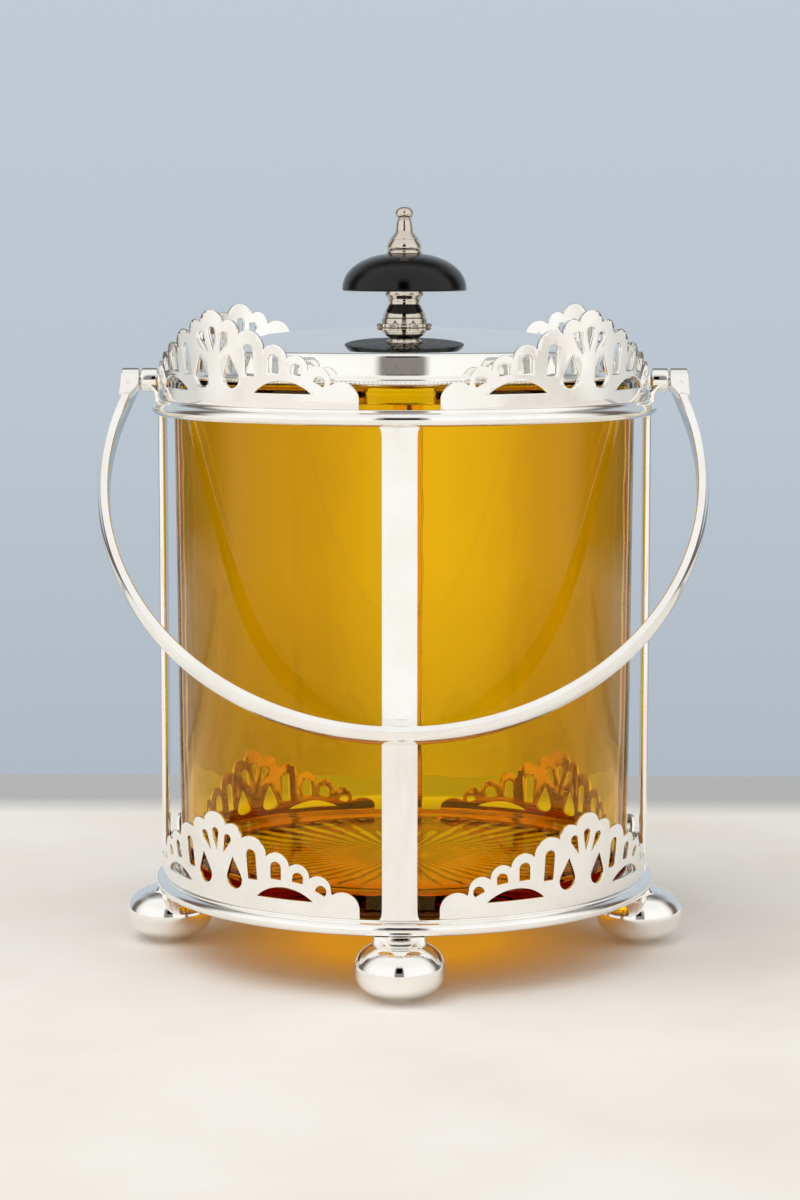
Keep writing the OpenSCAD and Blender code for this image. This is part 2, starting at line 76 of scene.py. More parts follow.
plateLook = {
    "silver": {"colour": "#FEFDFA", "shade": "#F5F2EC", "polish": 0.025, "haze": 0.05, "wave": 0.12},
    "nickel": {"colour": "#DCD3C7", "shade": "#B9AC9D", "polish": 0.05, "haze": 0.1, "wave": 0.05},
    # scale, detail, roughness
    "noises": {
        "cloud": (55.0, 4.0, 0.6),  # patches of tarnish about 18 mm wide
        "wear": (420.0, 3.0, 0.7),  # marks from wiping, about 2.4 mm
        "wave": (38.0, 1.0, 0.4),  # waves left by rolling and hammering, about 26 mm
        "scratch": (900.0, 2.0, 0.6),  # about 1 mm apart, coarser than real ones so that they show
    },
    "waveHeight": 0.0008, "scratchStretch": 6.0, "scratchRough": 0.05, "scratchDepth": 0.0001,
}


# Silver or nickel plate, polished by hand. Faint cloudy tarnish, scratches round the jar and a
# slight waviness break the mirror, so the eye reads old plate.
def polishedPlate(metal):
    look = plateLook[metal]
    material, tree = newMaterial(metal + "Plate")
    place = addNode(tree, "TexCoord").outputs["Object"]
    stretched = addNode(tree, "Mapping", {
        "Vector": place, "Scale": (1.0, 1.0, plateLook["scratchStretch"])})
    noises = {name: addNode(tree, "TexNoise", {
        "Vector": stretched if name == "scratch" else place, "Scale": scale, "Detail": detail,
        "Roughness": roughness}) for name, (scale, detail, roughness) in plateLook["noises"].items()}
    tarnish = addNode(tree, "MapRange", {
        "Value": noises["cloud"], "From Min": 0.42, "From Max": 0.7, "To Max": 0.75})
    tint = addNode(tree, "Mix", {0: tarnish, 6: hexColour(look["colour"]), 7: hexColour(look["shade"])},
                   data_type="RGBA").outputs[2]
    worn = addNode(tree, "MapRange", {
        "Value": noises["wear"], "From Min": 0.35, "From Max": 0.75,
        "To Min": look["polish"], "To Max": look["haze"]})
    scratched = addNode(tree, "MapRange", {
        "Value": noises["scratch"], "From Min": 0.62, "From Max": 0.78,
        "To Max": plateLook["scratchRough"]})
    rough = addNode(tree, "Math", {0: worn, 1: scratched}, operation="ADD")
    waves = addNode(tree, "Bump", {
        "Height": noises["wave"], "Strength": look["wave"], "Distance": plateLook["waveHeight"]})
    bump = addNode(tree, "Bump", {
        "Height": noises["scratch"], "Strength": 0.04, "Distance": plateLook["scratchDepth"],
        "Normal": waves})
    shader = addNode(tree, "BsdfPrincipled", {
        "Base Color": tint, "Metallic": 1.0, "Roughness": rough, "Normal": bump})
    addNode(tree, "OutputMaterial", {"Surface": shader})
    return material


glassLook = {
    "clear": "#FFFFFF",
    "through": "#F8D71B",  # what white light becomes in this depth of glass
    "depth": 0.005,
    "ior": 1.5, "sheen": "#FFD070",
    "rippleScale": 30.0,  # waves about 33 mm long from the mould
    "ripple": 0.25, "rippleHeight": 0.001,
    "speckScale": 700.0,  # dull specks about 1.4 mm
    "speckRough": 0.04,
}


# Deep amber pressed glass: the colour lies in the body of the glass, so thick parts and the
# base go to orange brown while thin parts stay golden. A slight ripple tells of the mould. Each
# channel's loss per metre is -ln(colour) / depth, and the node takes 1 - loss / density.
def amberGlass():
    material, tree = newMaterial("amberPressedGlass")
    place = addNode(tree, "TexCoord").outputs["Object"]
    ripple = addNode(tree, "TexNoise", {
        "Vector": place, "Scale": glassLook["rippleScale"], "Detail": 2.0, "Roughness": 0.5})
    bump = addNode(tree, "Bump", {
        "Height": ripple, "Strength": glassLook["ripple"], "Distance": glassLook["rippleHeight"]})
    specks = addNode(tree, "TexNoise", {
        "Vector": place, "Scale": glassLook["speckScale"], "Detail": 2.0, "Roughness": 0.6})
    rough = addNode(tree, "MapRange", {
        "Value": specks, "From Min": 0.55, "From Max": 0.85, "To Max": glassLook["speckRough"]})
    shader = addNode(tree, "BsdfPrincipled", {
        "Base Color": hexColour(glassLook["clear"]), "Roughness": rough, "IOR": glassLook["ior"],
        "Transmission Weight": 1.0, "Specular Tint": hexColour(glassLook["sheen"]), "Normal": bump})
    loss = -np.log(hexColour(glassLook["through"])[:3]) / glassLook["depth"]
    density = loss.max()
    body = addNode(tree, "VolumeAbsorption", {"Color": (*(1 - loss / density), 1.0), "Density": density})
    addNode(tree, "OutputMaterial", {"Surface": shader, "Volume": body})
    return material


phenolicLook = {
    "colour": "#050506", "dust": "#242322", "ior": 1.4, "polish": 0.07, "worn": 0.2,
    "wearScale": 160.0,  # worn patches about 6 mm
    "wearDepth": 0.0001,
    "dustScale": 2600.0,  # specks about 0.4 mm
    "dustRough": 0.25,
}


# Moulded black phenolic, polished: worn patches and dust specks break its highlights.
def blackPhenolic():
    material, tree = newMaterial("blackPhenolic")
    place = addNode(tree, "TexCoord").outputs["Object"]
    wear = addNode(tree, "TexNoise", {
        "Vector": place, "Scale": phenolicLook["wearScale"], "Detail": 4.0, "Roughness": 0.65})
    worn = addNode(tree, "MapRange", {
        "Value": wear, "From Min": 0.4, "From Max": 0.8,
        "To Min": phenolicLook["polish"], "To Max": phenolicLook["worn"]})
    bump = addNode(tree, "Bump", {
        "Height": wear, "Strength": 0.05, "Distance": phenolicLook["wearDepth"]})
    specks = addNode(tree, "TexNoise", {
        "Vector": place, "Scale": phenolicLook["dustScale"], "Detail": 1.0, "Roughness": 0.5})
    dust = addNode(tree, "MapRange", {"Value": specks, "From Min": 0.74, "From Max": 0.8})
    dull = addNode(tree, "Math", {0: dust, 1: phenolicLook["dustRough"]}, operation="MULTIPLY")
    rough = addNode(tree, "Math", {0: worn, 1: dull}, operation="ADD")
    tint = addNode(tree, "Mix", {
        0: dust, 6: hexColour(phenolicLook["colour"]), 7: hexColour(phenolicLook["dust"])},
        data_type="RGBA").outputs[2]
    shader = addNode(tree, "BsdfPrincipled", {
        "Base Color": tint, "Roughness": rough, "IOR": phenolicLook["ior"], "Normal": bump})
    addNode(tree, "OutputMaterial", {"Surface": shader})
    return material


silverPlate = polishedPlate("silver")
nickelPlate = polishedPlate("nickel")
glass = amberGlass()
phenolic = blackPhenolic()
print("materials made")


# Rounds the corners of a chain of points: each corner of radius r is replaced by an arc that
# touches both sides at the distance r / tan(half the corner's angle).
def roundCorners(points, radii, closed=False, step=14.0):
    points = [np.array(p, float) for p in points]
    count = len(points)
    result = []
    for i, corner in enumerate(points):
        radius = radii[i] if i < len(radii) else 0
        if radius <= 0 or (not closed and i in (0, count - 1)):
            result.append(corner)
            continue
        back = points[i - 1] - corner
        ahead = points[(i + 1) % count] - corner
        lengthBack = np.linalg.norm(back)
        lengthAhead = np.linalg.norm(ahead)
        back = back / lengthBack
        ahead = ahead / lengthAhead
        half = math.acos(np.clip(np.dot(back, ahead), -1, 1)) / 2
        if half > math.radians(89):
            result.append(corner)
            continue
        reach = min(radius / math.tan(half), 0.49 * lengthBack, 0.49 * lengthAhead)
        radius = reach * math.tan(half)
        middle = corner + (back + ahead) / np.linalg.norm(back + ahead) * radius / math.sin(half)
        start = corner + back * reach - middle
        end = corner + ahead * reach - middle
        turn = math.atan2(start[0] * end[1] - start[1] * end[0], np.dot(start, end))
        steps = max(2, int(abs(math.degrees(turn)) / step) + 1)
        t = np.linspace(0, turn, steps + 1)[:, None]
        result.append(middle + (start * np.cos(t) + np.array([-start[1], start[0]]) * np.sin(t)))
    return np.vstack(result)


# Points of an arc between two angles in degrees: centre + radius * (cos, sin).
def arc(centre, radius, start, end, steps):
    angles = np.radians(np.linspace(start, end, steps + 1))
    return np.stack([centre[0] + radius * np.cos(angles), centre[1] + radius * np.sin(angles)], axis=1)


# Quads of a grid with rows x columns points; a wrapped side joins its last line to its first.
def gridFaces(rows, columns, wrapRows=False, wrapColumns=False):
    i, j = np.meshgrid(np.arange(rows if wrapRows else rows - 1),
                       np.arange(columns if wrapColumns else columns - 1), indexing="ij")
    i, j = i.ravel(), j.ravel()
    iNext, jNext = (i + 1) % rows, (j + 1) % columns
    return np.stack([i * columns + j, i * columns + jNext, iNext * columns + jNext, iNext * columns + j],
                    axis=1)


# Turns a profile of (r, z) about the z axis: x = r cos a, y = r sin a, for evenly spaced a.
# An open profile that starts and ends on the axis closes there; a ring's profile is closed.
def revolve(profile, steps, closed=False, ripple=None):
    profile = np.asarray(profile, float)
    angles = np.linspace(0, 2 * math.pi, steps, endpoint=False)
    r = np.repeat(profile[:, :1], steps, axis=1)
    z = np.repeat(profile[:, 1:2], steps, axis=1)
    a = np.repeat(angles[None, :], len(profile), axis=0)
    if ripple:
        r, z = ripple(r, z, a)
    points = np.stack([r * np.cos(a), r * np.sin(a), z], axis=2).reshape(-1, 3)
    return points, gridFaces(len(profile), steps, wrapRows=closed, wrapColumns=True)


# Carries a closed section of (u, v) along an open path and closes both ends: each point is
# path + u * across + v * up.
def carry(path, across, up, section):
    path, across, up = (np.asarray(a, float) for a in (path, across, up))
    section = np.asarray(section, float)
    points = (path[:, None, :] + section[None, :, :1] * across[:, None, :]
              + section[None, :, 1:2] * up[:, None, :]).reshape(-1, 3)
    count = len(section)
    faces = gridFaces(len(path), count, wrapColumns=True).tolist()
    faces.append(list(range(count))[::-1])
    faces.append(list(range((len(path) - 1) * count, len(path) * count)))
    return points, faces


# Makes a piece from points in millimetres, welds its seams and poles, turns its faces outward
# and marks the edges sharper than the given angle.
def addPiece(name, points, faces, material, body, nodes, sharp=38):
    mesh = bpy.data.meshes.new(name)
    mesh.from_pydata((np.asarray(points) * mm).tolist(), [], [list(map(int, f)) for f in faces])
    work = bmesh.new()
    work.from_mesh(mesh)
    bmesh.ops.remove_doubles(work, verts=work.verts, dist=0.002 * mm)
    bmesh.ops.dissolve_degenerate(work, edges=work.edges, dist=0.001 * mm)
    bmesh.ops.recalc_face_normals(work, faces=work.faces)
    work.to_mesh(mesh)
    work.free()
    mesh.polygons.foreach_set("use_smooth", [True] * len(mesh.polygons))
    mesh.set_sharp_from_angle(angle=math.radians(sharp))
    mesh.materials.append(material)
    piece = bpy.data.objects.new(name, mesh)
    bpy.context.scene.collection.objects.link(piece)
    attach(piece, body)
    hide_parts(*nodes)


# Turns points about an axis by degrees: each is multiplied by that turn's matrix.
def turned(points, degrees, axis="Z"):
    return np.asarray(points) @ np.array(Matrix.Rotation(math.radians(degrees), 3, axis)).T


# Moves points: (x, y, z) is added to each.
def moved(points, x=0.0, y=0.0, z=0.0):
    return np.asarray(points) + np.array([x, y, z])


rings = {"outer": 72.0, "bead": 1.85, "inner": 68.35, "height": 4.4, "lowerZ": 17.6, "upperZ": 154.1,
         "ledgeIn": 61.35, "ledgeRise": 0.9, "ledgeT": 1.5, "step": 0.05, "round": 0.3, "steps": 288}


# The ring's outline: an arc of the bead's radius is the moulding outside, a fine crease above it
# parts it from the band, whose edges are rounded, and the lower ring has a ledge inside.
def ringProfile(z, ledge):
    bandR = rings["outer"] - rings["bead"]
    inner = rings["inner"]
    top = z + rings["height"]
    moulding = arc((bandR, z + rings["bead"]), rings["bead"], -90, 80, 22)
    step = bandR + rings["step"]
    upper = roundCorners([moulding[-1], (step, z + 2 * rings["bead"] - 0.02), (step, top), (inner, top),
                          (inner, top - 1)], [0, rings["step"], rings["round"], 0.4, 0])[1:]
    lower = [(inner, z), (bandR, z)]
    if ledge:
        under = z + rings["ledgeRise"]
        over = under + rings["ledgeT"]
        lower = [(inner, over + 0.5), (inner, over), (rings["ledgeIn"], over), (rings["ledgeIn"], under),
                 (inner, under)] + lower
        radii = [0, rings["round"], 0.4, 0.4, 0.2, rings["round"], 0]
    else:
        lower = [(inner, z + 2)] + lower
        radii = [0, rings["round"], 0]
    return np.concatenate([moulding, upper, roundCorners(lower, radii)[:-1]])


for name, z, ledge in (("upperRing", rings["upperZ"], False), ("lowerRing", rings["lowerZ"], True)):
    points, faces = revolve(ringProfile(z, ledge), rings["steps"], closed=True)
    addPiece(name, points, faces, silverPlate, "frame", [name.replace("Ring", "_ring")])
print("rings made")

posts = {"width": 9.6, "thick": 2.2, "crown": 0.6, "face": 70.6, "low": 22.0, "high": 154.1, "edge": 0.35,
         "inner": 1.2, "flare": 0.7, "flareReach": 0.8, "solder": 3.0}
sides = ["front", "right", "back", "left"]
corners = ["front_right", "back_right", "back_left", "front_left"]


# A post's section is flat behind, with rounded edges, and in front an arc whose radius is
# (half^2 + crown^2) / (2 * crown). Near its ends the width grows by flare * exp(-distance / reach),
# like the solder that holds it.
def postPoints():
    half = posts["width"] / 2
    crownR = (half ** 2 + posts["crown"] ** 2) / (2 * posts["crown"])
    x = np.linspace(-half, half, 17)
    front = np.stack([x, -(posts["face"] - crownR) - np.sqrt(crownR ** 2 - x ** 2)], axis=1)
    back = [(half, posts["thick"] - posts["face"]), (-half, posts["thick"] - posts["face"])]
    chain = np.concatenate([front, back])
    radii = [posts["edge"]] + [0] * 15 + [posts["edge"]] + [posts["inner"]] * 2
    section = roundCorners(chain, radii, closed=True)
    ends = np.linspace(0, posts["solder"], 9)
    heights = np.concatenate([posts["low"] + ends, np.linspace(30, 146, 10), posts["high"] - ends[::-1]])
    path = np.stack([0 * heights, 0 * heights, heights], axis=1)
    near = np.minimum(heights - posts["low"], posts["high"] - heights)
    widen = 1 + posts["flare"] / half * np.exp(-near / posts["flareReach"])
    across = np.array([1.0, 0, 0]) * widen[:, None]
    up = np.tile([0, 1.0, 0], (len(heights), 1))
    return carry(path, across, up, section)


points, faces = postPoints()
for i, side in enumerate(sides):
    addPiece("post-" + side, turned(points, 90 * i), faces, silverPlate, "frame", ["post_" + side])
print("posts made")

# Places along the fan are shares of its half length; heights, widths and radii are shares of its
# height, and tilts are in degrees.
fan = {
    "radius": 69.95, "thick": 1.0, "height": 26.0, "flare": 6.0, "span": 72.0, "edge": 0.22, "strip": 1.5,
    # place, centre's height, radius
    "lobes": [(0, .815, .185), (.148, .776, .125), (.293, .612, .184), (.472, .504, .150),
              (.615, .417, .131), (.748, .304, .135), (.898, .100, .181)],
    # place, sill, width, rise, tilt
    "arches": [(.288, .325, .118, .325, 0), (.462, .360, .123, .190, 3), (.610, .345, .119, .112, 9),
               (.756, .250, .115, .088, 28)],
    "low": (.510, .154, .395, .127),  # place, sill, width as a share of the half length, rise
    "drop": (.136, .302, .108, .236),  # place, centre's height, radius, length
    "petal": (.560, .047, .185, 27, .055, .03),  # point, radius, length, spread, gap, middle one's lift
}
fanHalf = fan["radius"] * math.radians(fan["span"] / 2)


# The upper edge of the fan: at each x the highest of centre + sqrt(r^2 - dx^2) over the lobes.
def fanOutline():
    lobes = [(s * p * fanHalf, c * fan["height"], r * fan["height"])
             for p, c, r in fan["lobes"] for s in ((1,) if p == 0 else (-1, 1))]
    spread = np.cos(np.radians(np.linspace(0, 180, 49)))
    x = np.unique(np.concatenate([cx + r * spread * 0.99999 for cx, _, r in lobes]).round(4))
    tops = np.zeros_like(x)
    for cx, cz, r in lobes:
        inside = np.abs(x - cx) < r
        tops = np.where(inside, np.maximum(tops, cz + np.sqrt(np.maximum(r ** 2 - (x - cx) ** 2, 0))), tops)
    top = np.stack([x, tops], axis=1)[::-1]
    return np.concatenate([[(x[0], 0.0), (x[-1], 0.0)], top])


# Turns flat points (u, v) by an angle a and moves them: x + u cos a - v sin a, z + u sin a + v cos a.
def placed(points, x, z, degrees):
    c, s = math.cos(math.radians(degrees)), math.sin(math.radians(degrees))
    u, v = np.asarray(points).T
    return np.stack([x + c * u - s * v, z + s * u + c * v], axis=1)


# A drop: a circle and the two tangents from its point, which touch the circle where the angle
# from the level is asin(radius / length).
def dropOutline(radius, length):
    touch = math.degrees(math.asin(radius / length))
    around = arc((0, 0), radius, 180 - touch, 360 + touch, 28)
    return np.concatenate([around, [(0, length)]])


# The openings: at each side four arches (a box under a half circle), a low segment of a circle and
# a drop, and in the middle three drops that stand on their points and spread.
def fanHoles():
    h = fan["height"]
    holes = []
    for s in (-1, 1):
        for place, sill, width, rise, tilt in fan["arches"]:
            w, r = width * h, rise * h
            head = arc((0, r - w / 2), w / 2, 0, 180, 20)
            shape = np.concatenate([[(-w / 2, 0), (w / 2, 0)], head])
            holes.append(placed(shape, s * place * fanHalf, sill * h, -s * tilt))
        place, sill, width, rise = fan["low"]
        w, r = width * fanHalf / 2, rise * h
        bowR = (w ** 2 + r ** 2) / (2 * r)
        reach = math.degrees(math.asin(w / bowR))
        segment = arc((0, r - bowR), bowR, 90 - reach, 90 + reach, 28)
        holes.append(placed(segment, s * place * fanHalf, sill * h, 0))
        place, centre, radius, length = fan["drop"]
        holes.append(placed(dropOutline(radius * h, length * h), s * place * fanHalf, centre * h, 0))
    start, radius, length, spread, gap, lift = fan["petal"]
    for s in (-1, 0, 1):
        shape = placed(dropOutline(radius * h, length * h), 0, length * h, 180)
        holes.append(placed(shape, s * gap * fanHalf, (start + lift * (1 - abs(s))) * h, -s * spread))
    return holes


# A flat plate with holes as a mesh in the x-y plane, with rounded edges of the given size.
def plateMesh(outline, holes, thick, edge):
    curve = bpy.data.curves.new("plateOutline", "CURVE")
    curve.dimensions = "2D"
    curve.fill_mode = "BOTH"
    curve.extrude = thick / 2 - edge
    curve.bevel_depth = edge
    curve.bevel_resolution = 2
    curve.offset = -edge
    for shape in [outline] + holes:
        spline = curve.splines.new("POLY")
        spline.points.add(len(shape) - 1)
        flat = np.concatenate([shape, np.zeros((len(shape), 1)), np.ones((len(shape), 1))], axis=1)
        spline.points.foreach_set("co", flat.ravel())
        spline.use_cyclic_u = True
    holder = bpy.data.objects.new("plateOutline", curve)
    bpy.context.scene.collection.objects.link(holder)
    bpy.context.view_layer.update()
    mesh = bpy.data.meshes.new_from_object(holder.evaluated_get(bpy.context.evaluated_depsgraph_get()))
    bpy.data.objects.remove(holder)
    bpy.data.curves.remove(curve)
    return mesh


# A mesh's points and faces.
def meshParts(mesh):
    points = np.empty(len(mesh.vertices) * 3, np.float32)
    mesh.vertices.foreach_get("co", points)
    return points.astype(float).reshape(-1, 3), [list(p.vertices) for p in mesh.polygons]


# Cuts a flat plate into strips of the given width, so that it can bend.
def stripPlate(mesh, low, high, step):
    work = bmesh.new()
    work.from_mesh(mesh)
    bmesh.ops.remove_doubles(work, verts=work.verts, dist=0.002)
    for x in np.arange(low + step, high, step):
        bmesh.ops.bisect_plane(work, geom=work.verts[:] + work.edges[:] + work.faces[:], dist=0.0005,
                               plane_co=(float(x), 0, 0), plane_no=(1, 0, 0))
    work.to_mesh(mesh)
    work.free()
    return meshParts(mesh)


# Bends a plate of (x, height, depth) round the jar: the angle is x / radius, and the wall leans
# out by height * tan(flare).
def bentFan(points):
    angle = points[:, 0] / fan["radius"] - math.pi / 2
    lean = points[:, 1] * math.tan(math.radians(fan["flare"]))
    r = fan["radius"] - fan["thick"] / 2 + lean + points[:, 2]
    return np.stack([r * np.cos(angle), r * np.sin(angle), points[:, 1]], axis=1)


flatFan = plateMesh(fanOutline(), fanHoles(), fan["thick"], fan["edge"])
fanPoints, fanFaces = stripPlate(flatFan, -fanHalf - 2, fanHalf + 2, fan["strip"])
fanPoints = bentFan(fanPoints)
for level in ("upper", "lower"):
    for i, corner in enumerate(corners):
        shape = moved(turned(fanPoints, 45 + 90 * i), z=rings[level + "Z"] + rings["height"])
        addPiece("gallery-" + level + "-" + corner, shape, fanFaces, silverPlate, "frame",
                 [level + "_gallery_" + corner], sharp=30)
print("galleries made")

feet = {"diameter": 24.99, "height": 16.8, "sideShare": 0.4, "neck": 13.2, "fillet": 2.2, "top": 17.6,
        "circle": 68.5, "flat": 9.0, "clip": 71.07, "clipFrom": 0.88, "clipPace": 1.5}


# Half of the squashed ball, then a neck. An arc at the side runs tangent into flatter caps, whose
# radius is (sideX^2 + half^2 - sideR^2) / (2 * (half - sideR)).
def footProfile():
    sideR = feet["height"] * feet["sideShare"]
    sideX = feet["diameter"] / 2 - sideR
    half = feet["height"] / 2
    capR = (sideX ** 2 + half ** 2 - sideR ** 2) / (2 * (half - sideR))
    meet = math.degrees(math.atan2(capR - half, sideX))
    neck = feet["neck"] / 2
    lowest = math.degrees(math.acos((feet["flat"] / 2) / capR))
    bottom = arc((0, capR), capR, -lowest, -meet, 18)
    side = arc((sideX, half), sideR, -meet, meet, 30)[1:]
    highest = math.degrees(math.acos(neck / capR))
    cap = arc((0, feet["height"] - capR), capR, meet, highest, 14)[1:]
    rise = roundCorners([cap[-4], (neck + 0.8, cap[-2][1]), (neck + 0.4, feet["top"])],
                        [0, feet["fillet"], 0])[1:]
    cap = cap[:-3]
    start = [(0, 0), (bottom[0][0] - 0.25, 0), (bottom[0][0], 0.2)]
    return np.concatenate([start, bottom, side, cap, rise, [(0, feet["top"])]])


# The neck is drawn in behind the ring's moulding: above the ball, points beyond the clip radius are
# brought back to it, more and more with height, by the smooth step share^2 * (3 - 2 * share).
def footPoints():
    points, faces = revolve(footProfile(), 96)
    points = moved(points, y=-feet["circle"])
    r = np.hypot(points[:, 0], points[:, 1])
    low = feet["height"] * feet["clipFrom"]
    share = np.clip((points[:, 2] - low) / (feet["top"] - low) * feet["clipPace"], 0, 1)
    share = share * share * (3 - 2 * share)
    scale = np.where(r > feet["clip"], 1 - share * (1 - feet["clip"] / r), 1)
    points[:, :2] *= scale[:, None]
    points[:, 2] = np.maximum(points[:, 2], 0)
    return points, faces


points, faces = footPoints()
for i, side in enumerate(sides):
    addPiece("foot-" + side, turned(points, 90 * i), faces, silverPlate, "frame", ["foot_" + side])
print("feet made")

pivot = {"z": 163.6, "barrel": 3.5, "lugIn": 70.5, "lugOut": 75.3, "knuckleIn": 75.65, "knuckleOut": 81.0,
         "rest": 39.27}
# The web's points are (distance from the jar's axis, height): those of its foot and back are
# measured from the ring's top, those of its head from the pivot's axis.
web = {"foot": [(68.55, -3.2), (71.2, -3.2), (71.4, -1.0)], "sweep": 4.2, "edge": 0.4,
       "head": [(74.6, -1.0), (74.6, 1.6), (70.9, 1.6), (70.6, -2.5)], "back": [(68.55, 0.9)]}


# A short barrel along x with rounded rims and a shallow dimple in each end: a profile turned about
# the z axis, whose z is then laid along x.
def barrel(start, end, radius, rim, dimple):
    profile = roundCorners([(0, start + dimple), (radius * 0.45, start + dimple), (radius * 0.6, start),
                            (radius, start), (radius, end), (radius * 0.6, end),
                            (radius * 0.45, end - dimple), (0, end - dimple)],
                           [0, 0.3, 0.3, rim, rim, 0.3, 0.3, 0])
    points, faces = revolve(profile, 72)
    return points[:, [2, 0, 1]], faces


# Joins several shapes into one list of points and faces.
def joined(shapes):
    points, faces, count = [], [], 0
    for p, f in shapes:
        points.append(np.asarray(p))
        faces += [[int(v) + count for v in face] for face in f]
        count += len(p)
    return np.concatenate(points), faces


# The web that carries a lug, a plate whose outer edge is an arc from the ring out to the barrel,
# and the barrel itself.
def lugShapes():
    top = rings["upperZ"] + rings["height"]
    sweep = arc((pivot["lugOut"] + 0.2, top - 0.2), web["sweep"], 188, 118, 10)
    foot, head, back = (np.array(web[part]) + np.array([0, z])
                        for part, z in (("foot", top), ("head", pivot["z"]), ("back", top)))
    plate = plateMesh(np.concatenate([foot, sweep, head, back]), [], 2 * pivot["barrel"] - 0.6, web["edge"])
    points, faces = meshParts(plate)
    body, bodyFaces = barrel(pivot["lugIn"], pivot["lugOut"], pivot["barrel"], 0.5, 0.25)
    return [(points[:, [0, 2, 1]], faces), (moved(body, z=pivot["z"]), bodyFaces)]


for side, sign in (("right", 1), ("left", -1)):
    points, faces = joined(lugShapes())
    points = points * np.array([sign, 1, 1])
    addPiece("lug-" + side, points, faces, silverPlate, "frame", ["pivot_lug_" + side],
             sharp=34)
print("lugs made")

handle = {"radius": 82.15, "drop": 34.0, "turn": 16.0, "width": 6.8, "thick": 3.2, "crown": 1.1,
          "edge": 0.5, "frontEdge": 0.25, "short": 2.0}
eye = {"thick": 1.4, "face": 2.95, "edge": 0.2, "footIn": 77.7, "foot": -7.4, "shoulder": -5.0,
       "waist": -4.4, "screwR": 0.55, "screwZ": -3.6}


# From hanging straight down to the handle's rest against the front post: a turn about the pivots.
def atRest(points):
    return moved(turned(points, -pivot["rest"], "X"), z=pivot["z"])


# The strip's section (u outward from the inner face, v across): flat inside, and outside an arc
# whose radius is (half^2 + crown^2) / (2 * crown).
def bowSection():
    half = handle["width"] / 2
    crownR = (half ** 2 + handle["crown"] ** 2) / (2 * handle["crown"])
    v = half * np.sin(np.radians(np.linspace(-90, 90, 21)))
    front = np.stack([handle["thick"] - crownR + np.sqrt(crownR ** 2 - v ** 2), v], axis=1)
    chain = np.concatenate([front, [(0, half), (0, -half)]])
    radii = [handle["frontEdge"]] + [0] * 19 + [handle["frontEdge"]] + [handle["edge"]] * 2
    return roundCorners(chain, radii, closed=True)


# The strip's path in the handle's plane: the arc (r cos a, r sin a - drop) of the inner face, which
# ends above its centre on both sides, then straight on up to the knuckles.
def bowPoints():
    r, turn, drop = handle["radius"], handle["turn"], handle["drop"]
    angles = np.radians(np.linspace(-180 - turn, turn, 181))
    arcPath = np.stack([r * np.cos(angles), 0 * angles, r * np.sin(angles) - drop], axis=1)
    outward = np.stack([np.cos(angles), 0 * angles, np.sin(angles)], axis=1)
    c, s = math.cos(math.radians(turn)), math.sin(math.radians(turn))
    rise = (drop - r * s) / c - handle["short"]
    steps = np.linspace(rise / 6, rise, 6)[:, None]
    along = np.array([s, 0, c])
    first = arcPath[0] + steps[::-1] * along
    last = arcPath[-1] + steps * along * np.array([-1, 1, 1])
    path = np.concatenate([first, arcPath, last])
    outward = np.concatenate([outward[[0] * 6], outward, outward[[-1] * 6]])
    across = np.tile([0, 1.0, 0], (len(path), 1))
    return carry(path, outward, across, bowSection())


# The strip's end widens to a flat eye over the front of its knuckle, with a small sunk screw hole.
def eyeShape():
    x0, x1 = pivot["knuckleIn"] + 0.05, pivot["knuckleOut"] - 0.05
    chain = [(eye["footIn"], eye["foot"]), (x1 + 0.1, eye["foot"]), (x1, eye["shoulder"]), (x1, 0.0),
             (x0, 0.0), (x0, eye["waist"])]
    outline = roundCorners(chain, [0, 0, 1.0, 0.9, 0.9, 2.0], closed=True)
    hole = arc(((x0 + x1) / 2 + 0.2, eye["screwZ"]), eye["screwR"], 0, 345, 23)
    points, faces = meshParts(plateMesh(outline, [hole], eye["thick"], eye["edge"]))
    return moved(points[:, [0, 2, 1]], y=-eye["face"]), faces


points, faces = bowPoints()
addPiece("bow", atRest(points), faces, silverPlate, "handle", ["bow"])
for side, sign in (("right", 1), ("left", -1)):
    knuckle = barrel(pivot["knuckleIn"], pivot["knuckleOut"], pivot["barrel"], 0.6, 0.3)
    points, faces = joined([knuckle, eyeShape()])
    points = atRest(points * np.array([sign, 1, 1]))
    addPiece("knuckle-" + side, points, faces, silverPlate, "handle", ["knuckle_" + side])
print("handle made")

liner = {"rimZ": 164.6, "rimR": 65.7, "baseR": 64.7, "baseZ": 20.3, "wall": 3.8, "floor": 5.5,
         "corner": 3.5, "inCorner": 6.0, "push": [(0, 1.6), (38, 1.0), (56, 0)],
         "flutes": 48, "fluteDepth": 0.7, "fluteIn": 9, "fluteGrow": 12, "fluteFade": 5, "fluteEdge": 1.5}


